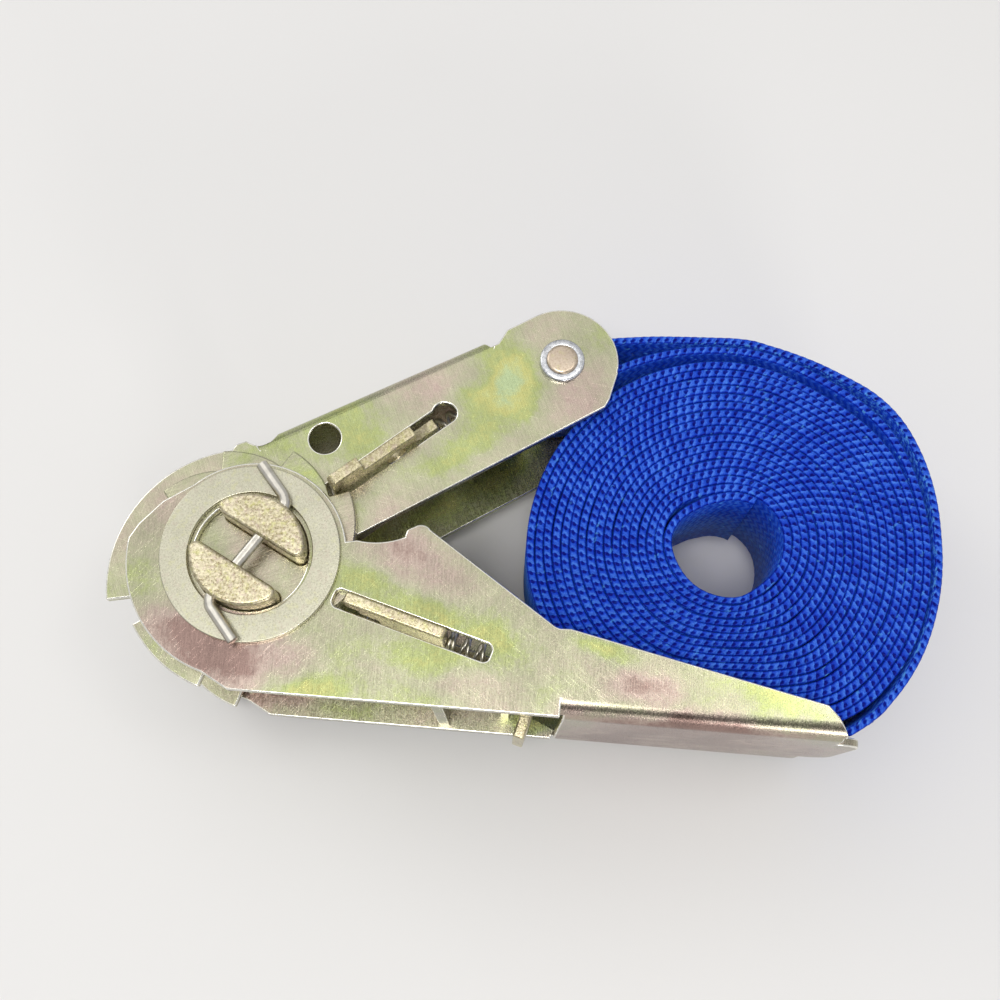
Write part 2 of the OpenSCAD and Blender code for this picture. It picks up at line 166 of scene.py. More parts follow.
class Shader:
    """A node material, with one call for each node."""

    def __init__(self, name):
        self.material = bpy.data.materials.new(name)
        self.material.use_nodes = True
        self.tree = self.material.node_tree
        self.surface = self.tree.nodes["Principled BSDF"]
        self.place = self.add("ShaderNodeTexCoord").outputs["Object"]

    def add(self, kind, inputs=None, **settings):
        """A node with these settings, and with values or other nodes' outputs in its inputs."""
        node = self.tree.nodes.new(kind)
        for key, value in settings.items():
            setattr(node, key, value)
        for key, value in (inputs or {}).items():
            self.put(node.inputs[key], value)
        return node

    def put(self, socket, value):
        """Link an output to a socket, or set the socket's own value."""
        if isinstance(value, bpy.types.NodeSocket):
            self.tree.links.new(value, socket)
        elif isinstance(value, tuple) and len(value) == 3 and socket.type == "RGBA":
            socket.default_value = (*value, 1)
        else:
            socket.default_value = value

    def math(self, operation, a, b=0.0, c=0.0):
        return self.add("ShaderNodeMath", {0: a, 1: b, 2: c}, operation=operation).outputs[0]

    def plus(self, a, b):
        return self.math("ADD", a, b)

    def minus(self, a, b):
        return self.math("SUBTRACT", a, b)

    def times(self, a, b):
        return self.math("MULTIPLY", a, b)

    def vector_math(self, operation, inputs, output="Vector"):
        return self.add("ShaderNodeVectorMath", inputs, operation=operation).outputs[output]

    def attribute(self, name):
        """A number that the mesh holds under that name."""
        return self.add("ShaderNodeAttribute", attribute_name=name).outputs["Fac"]

    def within(self, place, location, turn, size):
        """The place as seen from a box at location, turned about Z, that reaches size each way."""
        inputs = {
            "Vector": place, "Location": location, "Rotation": (0, 0, math.radians(turn)), "Scale": size,
        }
        return self.add("ShaderNodeMapping", inputs, vector_type="TEXTURE").outputs["Vector"]

    def stretched(self, length, width, turn=0.0):
        """The place in streaks of that length and width in millimetres, turned about Z."""
        return self.within(self.place, (0, 0, 0), turn, (length * MM, width * MM, width * MM))

    def spot(self, place, x, y, length, width, turn, rise):
        """A soft oval spot on both plates: rise at its middle, and nothing at its rim."""
        inside = self.within(place, (x * MM, y * MM, 0), turn, (length * MM, width * MM, 1000.0))
        away = self.vector_math("LENGTH", {0: inside}, "Value")
        return self.remap(away, 0.0, 1.0, rise, 0.0, "SMOOTHSTEP")

    def noise(self, scale, detail=2.0, roughness=0.5, vector=None):
        inputs = {
            "Vector": vector or self.place, "Scale": scale, "Detail": detail, "Roughness": roughness,
        }
        return self.add("ShaderNodeTexNoise", inputs).outputs[0]

    def ramp(self, value, stops):
        """A colour read off stops, each a position and a colour."""
        node = self.add("ShaderNodeValToRGB", {"Fac": value})
        elements = node.color_ramp.elements
        for i, (at, colour) in enumerate(stops):
            element = elements[i] if i < 2 else elements.new(at)
            element.position = at
            element.color = (*colour, 1)
        return node.outputs["Color"]

    def remap(self, value, low, high, to_low, to_high, interpolation="LINEAR"):
        """The value's range from low to high, spread from to_low to to_high and held beyond it."""
        inputs = {"Value": value, "From Min": low, "From Max": high, "To Min": to_low, "To Max": to_high}
        node = self.add("ShaderNodeMapRange", inputs, interpolation_type=interpolation)
        return node.outputs["Result"]

    def vary(self, noise, low, high):
        """A noise spread from low to high. Nearly all of a noise lies between 0.3 and 0.7."""
        return self.remap(noise, 0.3, 0.7, low, high)

    def mix(self, factor, a, b, blend="MIX"):
        """Colour or number a, with b over it by factor."""
        node = self.add("ShaderNodeMix", {"Factor": factor}, data_type="RGBA", blend_type=blend)
        self.put(node.inputs[6], a)
        self.put(node.inputs[7], b)
        return node.outputs[2]

    def lit(self, colour, light):
        """The colour, times one number for all three channels."""
        grey = self.add("ShaderNodeCombineColor", {0: light, 1: light, 2: light}).outputs[0]
        return self.mix(1.0, colour, grey, "MULTIPLY")

    def bump(self, height, strength, distance):
        """Raise the surface by height; distance is in metres."""
        inputs = {"Height": height, "Strength": strength, "Distance": distance}
        self.put(self.surface.inputs["Normal"], self.add("ShaderNodeBump", inputs).outputs["Normal"])

    def finish(self, colour, metallic, roughness, **more):
        """Set the surface's sockets, and return the material."""
        self.put(self.surface.inputs["Base Color"], colour)
        self.put(self.surface.inputs["Metallic"], metallic)
        self.put(self.surface.inputs["Roughness"], roughness)
        for key, value in more.items():
            self.put(self.surface.inputs[key.replace("_", " ")], value)
        return self.material


# Hues that the film on yellow zinc runs through as it thickens
MAUVE = (0.34, 0.23, 0.20)
ROSE = (0.53, 0.42, 0.36)
BEIGE = (0.50, 0.46, 0.34)
CHAMPAGNE = (0.47, 0.47, 0.31)
OLIVE = (0.43, 0.48, 0.21)
YELLOW = (0.54, 0.53, 0.21)
MINT = (0.46, 0.55, 0.31)
FILM = [
    (0.0, MAUVE), (0.18, ROSE), (0.38, BEIGE), (0.52, CHAMPAGNE), (0.68, OLIVE), (0.82, YELLOW),
    (1.0, MINT),
]
# Length and width in millimetres of three sets of scratches, and their degrees from the grain
SCRATCHES = ((5.0, 0.07, 55), (3.4, 0.06, 20), (4.2, 0.06, -40))


def zinc(name, grain, shade, level, patch, spots=()):
    """Yellow zinc on rolled sheet: soft iridescent patches, fine speckle, streaks and scratches.

    grain is the rolling direction in degrees, shade is how light the sheet is, level is where on FILM
    it lies on average, patch is its patches' noise scale, and spots are places with a film of their own,
    and on the handle's grip also painted reflection and shade.
    """
    s = Shader(name)
    # The place wanders a little, so that no spot is a clean oval
    wobble = s.add("ShaderNodeTexNoise", {"Vector": s.place, "Scale": 150.0, "Detail": 2.0}).outputs[1]
    shift = s.vector_math("SUBTRACT", {0: wobble, 1: (0.5, 0.5, 0.5)})
    shift = s.vector_math("SCALE", {0: shift, "Scale": 0.007})
    place = s.vector_math("ADD", {0: s.place, 1: shift})
    # Both noises average 0.5, which is taken off again
    film = s.plus(s.noise(patch), level - 0.5)
    film = s.math("MULTIPLY_ADD", s.noise(750.0, 4.0, 0.75), 0.44, s.minus(film, 0.22))
    for spot in spots:
        film = s.plus(film, s.spot(place, *spot))
    speckle = s.noise(3600.0, 2.0, 0.7)
    streak = s.noise(1.0, 4.0, 0.65, s.stretched(3.0, 0.16, grain))
    light = s.plus(s.vary(speckle, 0.90, 1.08), s.vary(streak, -0.13, 0.13))
    light = s.plus(light, s.vary(s.noise(150.0), -0.09, 0.09))
    scratches = 0.0
    for length, width, turn in SCRATCHES:
        line = s.noise(1.0, 1.0, 0.4, s.stretched(length, width, grain + turn))
        scratches = s.plus(s.remap(line, 0.69, 0.74, 0.0, 0.34), scratches)
    colour = s.lit(s.ramp(film, FILM), s.times(s.plus(light, scratches), shade))
    s.bump(s.plus(s.times(speckle, 0.4), s.plus(streak, scratches)), 0.30, 0.03 * MM)
    return s.finish(colour, 0.96, s.plus(s.vary(streak, 0.22, 0.30), s.vary(speckle, -0.03, 0.05)))


def satin(name, low, high, grain, depth, rough, tints):
    """Satin metal with a tumbled grain between two colours, and specks of rose and yellow.

    grain is its noise scale, depth its height in millimetres, and tints how strong the specks are.
    """
    s = Shader(name)
    cloud = s.noise(180.0, 3.0, 0.5)
    speck = s.noise(grain, 3.0, 0.75)
    blend = s.plus(s.vary(cloud, 0.1, 0.6), s.remap(speck, 0.35, 0.65, -0.4, 0.6))
    tint = s.noise(900.0, 2.0, 0.6)
    colour = s.mix(blend, low, high)
    colour = s.mix(s.remap(tint, 0.55, 0.68, 0.0, tints), colour, YELLOW)
    colour = s.mix(s.remap(tint, 0.45, 0.32, 0.0, tints), colour, ROSE)
    s.bump(speck, 0.6, depth * MM)
    return s.finish(colour, 0.9, s.vary(speck, rough - 0.06, rough + 0.1))


def bright(name, colour, rough):
    """Bright drawn or cut steel with faint draw lines."""
    s = Shader(name)
    lines = s.noise(900.0, 3.0, 0.6)
    s.bump(lines, 0.15, 0.03 * MM)
    return s.finish(s.lit(colour, s.vary(lines, 0.82, 1.05)), 1.0, s.vary(lines, rough, rough + 0.12))


# ---- metal parts ----

# Points nearer than this are one point, in metres, before a piece's edges are rounded and after
WELD = 3e-6
WELD_ROUNDED = 2e-6
# Neighbouring faces that turn less than this are one flat face
FLAT_DEG = 0.6
# A convex edge that turns more than this was cut, and is rounded over
CUT_DEG = 28.0
# How far a rounded edge may stand proud of the CAD surface, in metres, before it is put back on it
PROUD = 2e-6
# From this turn on, shading breaks at an edge: on sheet, on turned parts and on wire
SHEET_SHARP_DEG = 42
TURNED_SHARP_DEG = 40
WIRE_SHARP_DEG = 50
# Directions at rest, in degrees about Z: of the two slides, the spindle's slot and the split pins
LOCK_SLIDE_DEG = 36.5
DRIVE_SLIDE_DEG = -20.5
SLOT_DEG = -32.0
SPLIT_PIN_DEG = 53


def mesh_object(name, points, faces, material, smooth=True):
    """An object from points in millimetres."""
    mesh = bpy.data.meshes.new(name)
    mesh.from_pydata([tuple(p) for p in np.asarray(points) * MM], [], faces)
    mesh.materials.append(material)
    mesh.polygons.foreach_set("use_smooth", [smooth] * len(mesh.polygons))
    mesh.update()
    return add_object(name, mesh)


def stand_for(piece, node):
    """Put a piece in its CAD node's stead, on the node's body."""
    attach(piece, BODY_OF[node])
    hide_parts(node)


def shade_evenly(obj, sharp):
    """Flat faces stay flat up to their rounded edges."""
    obj.data.set_sharp_from_angle(angle=math.radians(sharp))
    weighted = obj.modifiers.new("even_shading", "WEIGHTED_NORMAL")
    weighted.keep_sharp = True
    weighted.weight = 100


def finished(node, material, edge_material, width, segments, slot):
    """A copy of a CAD node with its cut edges rounded over by width."""
    mesh = NODES[node].data.copy()
    mesh.materials.clear()
    mesh.materials.append(material)
    mesh.materials.append(edge_material)
    bm = bmesh.new()
    bm.from_mesh(mesh)
    bmesh.ops.remove_doubles(bm, verts=bm.verts, dist=WELD)
    bmesh.ops.dissolve_limit(bm, angle_limit=math.radians(FLAT_DEG), verts=bm.verts, edges=bm.edges)
    for face in bm.faces:
        face.material_index = 0
    skin = BVHTree.FromBMesh(bm)
    edges = [
        e for e in bm.edges
        if len(e.link_faces) == 2 and e.is_convex and e.calc_face_angle() > math.radians(CUT_DEG)
    ]
    bmesh.ops.bevel(
        bm, geom=edges, offset=width * MM, offset_type="OFFSET", segments=segments,
        profile=0.5, affect="EDGES", clamp_overlap=False, material=1, loop_slide=False,
    )
    for vert in bm.verts:
        nearest, normal, _, _ = skin.find_nearest(vert.co)
        if (vert.co - nearest).dot(normal) > PROUD:
            vert.co = nearest
    bmesh.ops.remove_doubles(bm, verts=bm.verts, dist=WELD_ROUNDED)
    for face in bm.faces:
        face.smooth = True
    bmesh.ops.triangulate(bm, faces=[f for f in bm.faces if len(f.verts) > 4])
    bm.to_mesh(mesh)
    bm.free()
    obj = add_object(node + "_finished", mesh)
    shade_evenly(obj, SHEET_SHARP_DEG)
    stand_for(obj, node)


def rotate(x, y, degrees):
    """The place (x, y), turned about the spindle's axis."""
    c, s = math.cos(math.radians(degrees)), math.sin(math.radians(degrees))
    return x * c - y * s, x * s + y * c


def arc(x, y, radius, angles):
    """Points on an arc about (x, y), at angles in radians."""
    return [(x + radius * math.cos(a), y + radius * math.sin(a)) for a in angles]


def circle(radius, count):
    return arc(0, 0, radius, np.linspace(0, 2 * np.pi, count, endpoint=False))


def tube_faces(n, rings):
    """The faces of a closed tube, from rings of n points each."""
    faces = [
        (i * n + k, i * n + (k + 1) % n, (i + 1) * n + (k + 1) % n, (i + 1) * n + k)
        for i in range(rings - 1) for k in range(n)
    ]
    faces.append(tuple(range(n - 1, -1, -1)))
    faces.append(tuple(range((rings - 1) * n, rings * n)))
    return faces


def sweep(path, section, ups):
    """Points and faces of a section (across, up) carried along a path, with both ends closed."""
    path, ups = np.asarray(path, float), np.asarray(ups, float)
    way = np.gradient(path, axis=0)
    way /= np.linalg.norm(way, axis=1, keepdims=True)
    ups = ups - way * np.sum(ups * way, axis=1, keepdims=True)
    ups /= np.linalg.norm(ups, axis=1, keepdims=True)
    sides = np.cross(ups, way)
    points = [p + side * a + up * b for p, side, up in zip(path, sides, ups) for a, b in section]
    return points, tube_faces(len(section), len(path))


def half_moon(inset):
    """A half shaft's section, on the +Y side of the slot, drawn in by inset."""
    radius, corner, flat = 9.1, 1.3, 2.8
    y = flat + corner
    x = math.sqrt((radius - corner) ** 2 - y ** 2)
    lean = math.atan2(y, x)
    right = arc(x, y, corner - inset, np.linspace(-math.pi / 2, lean, 9))
    back = arc(0, 0, radius - inset, np.linspace(lean, math.pi - lean, 49))
    left = arc(-x, y, corner - inset, np.linspace(math.pi - lean, 1.5 * math.pi, 9))
    return right[:-1] + back + left[1:]


def half_shaft(node, turn):
    """One half shaft, with its long corners and both ends rounded over."""
    end, round_off = 23.4, 0.62
    top = [
        (end - round_off * (1 - math.sin(a)), round_off * (1 - math.cos(a)))
        for a in np.linspace(0, math.pi / 2, 5)
    ]
    # Each ring's height and inset: the lower end, seven rings 6 mm apart, and the upper end
    rings = [(-z, inset) for z, inset in top[::-1]] + [(z * 6.0, 0.0) for z in range(-3, 4)] + top
    points = [(*rotate(x, y, turn), z) for z, inset in rings for x, y in half_moon(inset)]
    faces = tube_faces(len(half_moon(0)), len(rings))
    obj = mesh_object(node + "_finished", points, faces, SHAFT)
    shade_evenly(obj, TURNED_SHARP_DEG)
    stand_for(obj, node)


def turned(node, centre, profile, material, sides):
    """A part turned on a lathe, from (radius, height) points round its closed section."""
    points, faces, n = [], [], len(profile)
    for k in range(sides):
        a = 2 * math.pi * k / sides
        points += [(centre[0] + r * math.cos(a), centre[1] + r * math.sin(a), z) for r, z in profile]
        here, following = k * n, (k + 1) % sides * n
        faces += [
            (here + i, following + i, following + (i + 1) % n, here + (i + 1) % n) for i in range(n)
        ]
    obj = mesh_object(node + "_finished", points, faces, material)
    shade_evenly(obj, TURNED_SHARP_DEG)
    stand_for(obj, node)


def washer_section(inner, outer, low, high, r):
    """A washer's section, anticlockwise, with its four corners rounded by r."""
    corners = (
        (outer - r, low + r, -90), (outer - r, high - r, 0),
        (inner + r, high - r, 90), (inner + r, low + r, 180),
    )
    section = []
    for x, z, start in corners:
        section += arc(x, z, r, np.radians(np.linspace(start, start + 90, 4)))
    return section


def on_slide(degrees, u, w, z=0.0):
    """The place at distance u along a slide's direction and w across it."""
    return np.array([*rotate(u, w, degrees), z])


def spring(node, degrees, start, end, across, z, turns):
    """A wire helix with two closed end coils."""
    radius, wire, points_a_turn = 2.15, 0.35, 20
    t = np.linspace(0, 1, turns * points_a_turn + 1)
    # Each end has 1.2 coils that lie almost flat, with 0.06 of the rise
    closed = 1.2 / turns
    rise = np.interp(t, [0, closed, 1 - closed, 1], [0, 0.06, 0.94, 1])
    along = start + wire + rise * (end - start - 2 * wire)
    turn = 2 * np.pi * turns * t
    unit, cross, up = on_slide(degrees, 1, 0), on_slide(degrees, 0, 1), np.array([0, 0, 1.0])
    out = np.cos(turn)[:, None] * cross + np.sin(turn)[:, None] * up
    path = along[:, None] * unit + across * cross + z * up + radius * out
    points, faces = sweep(path, circle(wire, 8), out)
    obj = mesh_object(node + "_wire", points, faces, STEEL)
    stand_for(obj, node)
    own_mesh(obj)


def split_pin(node, z):
    """A split pin through both half shafts, with its two legs bent round."""
    shank, bend_r, bend, leg, end_r = 8.3, 2.3, math.radians(73), 6.2, 0.12
    half = [np.array([shank * k / 4, 0]) for k in range(4)]
    half += [
        np.array([shank + bend_r * math.sin(a), bend_r * (1 - math.cos(a))])
        for a in np.linspace(0, bend, 12)
    ]
    corner, way = half[-1], np.array([math.cos(bend), math.sin(bend)])
    half += [corner + way * leg * k / 3 for k in (1, 2)]
    half += [corner + way * (leg - end_r), corner + way * leg]
    plan = [-p for p in half[:0:-1]] + half
    path = np.array([[*rotate(x, y, SPLIT_PIN_DEG), z] for x, y in plan])
    # Two grooves show where the wire's flat sides meet
    ring = []
    for a in np.linspace(0, 2 * np.pi, 32, endpoint=False):
        groove = math.exp(-(math.cos(a) / 0.10) ** 2)
        ring += arc(0, 0, 0.95 - 0.07 * groove, [a])
    points, faces = sweep(path, ring, [[0, 0, 1.0]] * len(path))
    points, n = np.array(points), len(ring)
    # The last ring at each end is drawn in
    for end, rows in ((path[0], slice(0, n)), (path[-1], slice(len(points) - n, len(points)))):
        points[rows] = end + (points[rows] - end) * 0.8
    obj = mesh_object(node + "_wire", points, faces, STEEL)
    obj.data.set_sharp_from_angle(angle=math.radians(WIRE_SHARP_DEG))
    stand_for(obj, node)


# ---- webbing ----

WEB_W = 25.0
WEB_T = 1.3
# The length of one knot of the plaited edges, and the width of one band of the faces' chevron
KNOT_PITCH = 1.47
CHEVRON_W = 1.6
STEPS_A_KNOT = 6
# Places across the edge's thickness, from -1 at one rim to 1 at the other
ACROSS = np.array([-1.0, -0.75, -0.45, -0.2, 0.0, 0.2, 0.45, 0.75, 1.0])
# How far a knot leans from one rim to the middle, in knots, and how far its pit is from the middle
KNOT_LEAN = 0.20
PIT_SIDE = 0.15
# Millimetres in one unit of the weave's UV map
UV_MM = 10

# Blues of the weave, darkest first; the darkest stops are painted shade in the edges' pits and between turns
WEAVE_BLUES_AND_SHADE = [
    (0.0, (0.0, 0.003, 0.20)), (0.35, (0.0015, 0.027, 0.42)), (0.65, (0.012, 0.070, 0.55)),
    (1.0, (0.060, 0.195, 0.76)),
]
PALE_THREAD = (0.12, 0.43, 0.86)

# Centres of the coil and of the strap pin
COIL = np.array([78.4, 4.6])
PIN = np.array([50.4, 34.8])
# The inner radius of the webbing's loop round the pin
LOOP_RADIUS = 3.1
# The coil is wound clockwise from this direction, by this many turns
START_DEG = 84.0
TURNS = 17.08
# Distances from the coil's centre by direction in degrees: of the coil's outermost turn, of its
# innermost turn, and of the sewn end outside it
OUTER = [
    (-180, 34.6), (-165, 35.0), (-140, 34.9), (-120, 33.6), (-105, 31.3), (-90, 30.6), (-75, 32.2),
    (-60, 34.2), (-44, 34.1), (-28, 33.5), (-8, 32.8), (8, 32.8), (18, 33.0), (33, 33.4), (46, 33.1),
    (60, 32.7), (75, 33.1), (84, 33.4), (98, 33.8), (115, 33.9), (140, 33.7), (163, 34.0),
]
INNER = [
    (-180, 10.2), (-160, 10.4), (-120, 10.3), (-90, 10.0), (-70, 9.15), (-50, 8.55), (-20, 8.15),
    (10, 7.9), (40, 7.7), (58, 7.4), (84, 7.0), (110, 7.0), (130, 7.9), (150, 9.2),
]
SEWN = [
    (-64, 36.2), (-50, 35.9), (-35, 35.2), (-20, 34.5), (-5, 34.2), (3, 34.3), (15, 34.9), (25, 35.5),
    (35, 36.0), (44, 35.8), (55, 34.9), (67, 34.6), (77, 34.8), (90, 35.3), (180, 36.0),
]
# Points of the two strands between the coil and the pin: the sewn one, and the one that is wound
SEWN_STRAND = [(72.5, 40.05), (66.0, 40.1), (58.0, 39.6)]
WOUND_STRAND = [(57.0, 33.2), (63.5, 35.9), (70.0, 37.6), (76.0, 38.15)]


def edge_tone_and_painted_light(s, knots, side):
    """A plaited edge, lighter and darker, with painted light: a leaning pit in each knot in painted shade,
    raised threads round it with a painted highlight, and painted shade along both rims, where one turn meets
    the next.
    """
    lean = s.math("MULTIPLY_ADD", side, KNOT_LEAN, s.plus(knots, 0.5))
    knot = s.math("FLOOR", lean)
    step = s.minus(lean, knot)
    # No two knots are alike
    chance = s.add("ShaderNodeTexWhiteNoise", {"W": knot}, noise_dimensions="1D").outputs["Value"]
    # The pit is a wedge, wide towards one rim
    width = s.times(s.remap(side, -1.0, 1.0, 0.40, 0.12), s.remap(chance, 0.0, 1.0, 0.8, 1.2))
    from_pit = s.math("DIVIDE", s.minus(step, 0.5), width)
    from_middle = s.math("DIVIDE", s.plus(side, PIT_SIDE), 0.56)
    away = s.math("SQRT", s.plus(s.math("POWER", from_pit, 2.0), s.math("POWER", from_middle, 2.0)))
    # Painted shade fills each pit; this is 0 in it and 1 clear of it
    clear_of_pit_shade = s.remap(away, 0.55, 1.10, 0.0, 1.0, "SMOOTHSTEP")
    # The thread after each pit stands up with a painted highlight, then falls away to the next
    ridge_highlight = s.minus(1.0, s.math("FRACT", s.plus(step, 0.32)))
    # Painted shade along both rims of the edge, in the gaps between turns
    rim = s.remap(s.math("ABSOLUTE", side), 0.62, 1.0, 0.0, 0.60)
    tone_with_painted_light = s.minus(s.times(clear_of_pit_shade, s.math("MULTIPLY_ADD", ridge_highlight, 0.62, 0.32)), rim)
    return s.plus(tone_with_painted_light, s.remap(chance, 0.0, 1.0, -0.12, 0.12))


def webbing_material():
    """Royal blue polyester webbing: chevron twill on its faces, plaited threads on its edges, with painted
    shade in the edges' pits and between turns, and painted highlights on their threads.
    """
    s = Shader("webbing_weave")
    weave = s.add("ShaderNodeUVMap", uv_map="weave").outputs[0]
    uv = s.add("ShaderNodeSeparateXYZ", {0: weave})
    along, across = uv.outputs[0], uv.outputs[1]
    face, side = s.attribute("face"), s.attribute("side")
    knots = s.times(along, UV_MM / KNOT_PITCH)
    # The faces: ribs that lean one way and then the other
    chevron = s.math("PINGPONG", s.times(across, UV_MM / CHEVRON_W), 1.0)
    twill = s.math("SINE", s.times(s.math("MULTIPLY_ADD", chevron, 0.55, knots), 2 * math.pi))
    # On the edges, painted shade in pits and between turns and painted highlights on threads; on the faces,
    # the twill
    tone_with_painted_light = s.mix(face, edge_tone_and_painted_light(s, knots, side), s.remap(twill, -1.0, 1.0, 0.42, 0.74))
    fibre = s.noise(4200.0, 3.0, 0.7)
    tone_with_painted_light = s.plus(tone_with_painted_light, s.vary(fibre, -0.17, 0.17))
    tone_with_painted_light = s.plus(tone_with_painted_light, s.vary(s.noise(160.0, 3.0, 0.6), -0.10, 0.10))
    # A few pale threads that show at the gaps
    fleck = s.noise(1.0, 1.0, 0.5, s.stretched(1.7, 0.8, 40))
    fleck = s.times(s.remap(fleck, 0.67, 0.75, 0.0, 0.6), s.math("ABSOLUTE", side))
    # The sewn end rubs against the coil, so its inner rim is frayed along its first 95 to 110 mm
    frayed = s.noise(1.0, 2.0, 0.6, s.stretched(2.4, 0.6, 60))
    sewn = s.remap(along, 95 / UV_MM, 110 / UV_MM, 1.0, 0.0)
    frayed = s.times(s.remap(frayed, 0.52, 0.64, 0.0, 0.6), sewn)
    frayed = s.times(frayed, s.remap(side, -0.2, -0.8, 0.0, 1.0))
    colour = s.mix(s.math("MAXIMUM", fleck, frayed), s.ramp(tone_with_painted_light, WEAVE_BLUES_AND_SHADE), PALE_THREAD)
    s.bump(s.plus(s.times(twill, face), s.times(fibre, 0.9)), 0.6, 0.12 * MM)
    return s.finish(
        colour, 0.0, s.vary(fibre, 0.40, 0.60), Sheen_Weight=0.25, Sheen_Roughness=0.35,
        Sheen_Tint=(0.10, 0.45, 1.0, 1.0), Specular_IOR_Level=0.12,
    )


def thread_material():
    """Twisted blue sewing thread."""
    s = Shader("sewing_thread")
    ply = s.noise(4200.0, 3.0, 0.7)
    s.bump(ply, 0.6, 0.1 * MM)
    colour = s.mix(s.vary(ply, 0.0, 1.0), (0.01, 0.03, 0.30), (0.04, 0.12, 0.62))
    return s.finish(colour, 0.0, 0.55, Sheen_Weight=0.2)


def smooth_curve(points, steps):
    """A Catmull-Rom curve through points, with steps pieces from each to the next."""
    points = np.asarray(points, float)
    ends = np.vstack([2 * points[0] - points[1], points, 2 * points[-1] - points[-2]])
    curve = []
    for i in range(1, len(ends) - 2):
        a, b, c, d = ends[i - 1:i + 3]
        for t in np.arange(steps) / steps:
            curve.append(0.5 * (2 * b + (c - a) * t + (2 * a - 5 * b + 4 * c - d) * t * t
                                + (3 * b - a - 3 * c + d) * t ** 3))
    curve.append(points[-1])
    return np.array(curve)


def by_direction(table, degrees):
    """A distance from the coil's centre, read off one of the tables above."""
    all_round = [(a + 360 * n, r) for n in (-1, 0, 1) for a, r in table]
    curve = smooth_curve(all_round, 12)
    return np.interp((np.asarray(degrees) + 180) % 360 - 180, curve[:, 0], curve[:, 1])


def bulge(degrees, at, width):
    """A smooth rise to 1 at one direction."""
    return np.exp(-(((degrees - at + 180) % 360 - 180) / width) ** 2)


def coil_pitch(wound):
    """The distance from one turn to the next, after winding that many degrees."""
    degrees = START_DEG - wound
    return (by_direction(OUTER, degrees) - by_direction(INNER, degrees)) / TURNS


def coil_radius(wound):
    """The webbing's distance from the coil's centre, after winding that many degrees."""
    degrees = START_DEG - wound
    turn = wound / 360
    radius = by_direction(OUTER, degrees) - coil_pitch(wound) * turn
    # The first turn stands off the others on its way to the pin, so they are drawn in there
    gap = 1.45 * bulge(degrees, 105, 42) + 1.2 * bulge(degrees, 45, 24)
    gap = gap * np.clip((turn - 0.72) / 0.1, 0, 1)
    radius = radius - gap * (TURNS - turn) / (TURNS - 1)
    # The last turn is loose, and none is wound quite evenly
    loose = 0.9 * np.exp(-(((wound - (TURNS * 360 - 88)) / 22) ** 2))
    sway = 0.04 * np.sin(np.radians(wound * 3.7)) + 0.04 * np.sin(np.radians(wound * 7.3 + 40))
    return radius - loose + sway


def around(radius, degrees, centre=COIL):
    """Places at those distances and directions from a centre."""
    a = np.radians(degrees)
    return np.stack([centre[0] + radius * np.cos(a), centre[1] + radius * np.sin(a)], axis=-1)


def webbing_path():
    """The webbing's middle line, evenly spaced, with its thickness: sewn end, pin, then coil."""
    directions = np.arange(-62.0, 88.0, 1.0)
    sewn = around(by_direction(SEWN, directions), directions)
    loop = around(LOOP_RADIUS + WEB_T / 2, np.arange(99.0, 286.0, 5.0), PIN)
    wound = np.arange(0.0, TURNS * 360, 1.0)
    coil = around(coil_radius(wound), START_DEG - wound)
    over = smooth_curve([sewn[-1], *SEWN_STRAND, loop[0]], 12)
    under = smooth_curve([loop[-1], *WOUND_STRAND, coil[0]], 12)
    line = np.vstack([sewn[:-1], over[:-1], loop, under[1:-1], coil])
    thick = np.full(len(line), WEB_T)
    thick[-len(coil):] = np.clip(coil_pitch(wound) * 0.95, 1.1, 1.5)
    for _ in range(3):
        line[1:-1] = (line[:-2] + 2 * line[1:-1] + line[2:]) / 4
        thick[1:-1] = (thick[:-2] + 2 * thick[1:-1] + thick[2:]) / 4
    run = np.concatenate([[0], np.cumsum(np.linalg.norm(np.diff(line, axis=0), axis=1))])
    at = np.linspace(0, run[-1], int(run[-1] / KNOT_PITCH * STEPS_A_KNOT))
    even = np.stack([np.interp(at, run, line[:, 0]), np.interp(at, run, line[:, 1])], axis=1)
    return even, at, np.interp(at, run, thick)


def edge_height(at):
    """How far the plaited edges stand out past half the webbing's width, everywhere along it."""
    share = np.abs(ACROSS)
    phase = at[:, None] / KNOT_PITCH + KNOT_LEAN * ACROSS
    thread = np.cos(2 * np.pi * (phase - 0.3 * share))
    pit = np.exp(-((ACROSS + PIT_SIDE) / 0.45) ** 2) * np.clip(np.cos(2 * np.pi * phase), 0, 1) ** 1.2
    return -0.38 * share ** 3 - 0.12 * thread * (1 - 0.5 * share) - 0.45 * pit


def mark_weave(mesh, at):
    """Give the webbing's mesh what its material reads: side, face and the weave's UV map."""
    n, size, stations = len(ACROSS), 2 * len(ACROSS), len(at)
    side = np.tile(np.concatenate([ACROSS, ACROSS[::-1]]), stations)
    mesh.attributes.new("side", "FLOAT", "POINT").data.foreach_set("value", side)
    # Each corner's quad within its ring, and -1 on the two end faces
    quad = np.append(np.tile(np.repeat(np.arange(size), 4), stations - 1), np.full(2 * size, -1))
    on_face = ((quad == n - 1) | (quad == size - 1)).astype(float)
    mesh.attributes.new("face", "FLOAT", "CORNER").data.foreach_set("value", on_face)
    corners = np.empty(len(mesh.loops), int)
    mesh.loops.foreach_get("vertex_index", corners)
    station, place = corners // size, corners % size
    # Distances round the strip, which end where the second face comes back to the first point
    step = (ACROSS + 1) * WEB_T / 2
    across = np.concatenate([WEB_W + step, 2 * WEB_W + WEB_T + step])[place]
    across[(quad == size - 1) & (place == 0)] = 3 * WEB_W + 2 * WEB_T
    uv = np.stack([at[station], across], axis=1) / UV_MM
    mesh.uv_layers.new(name="weave").data.foreach_set("uv", uv.ravel())


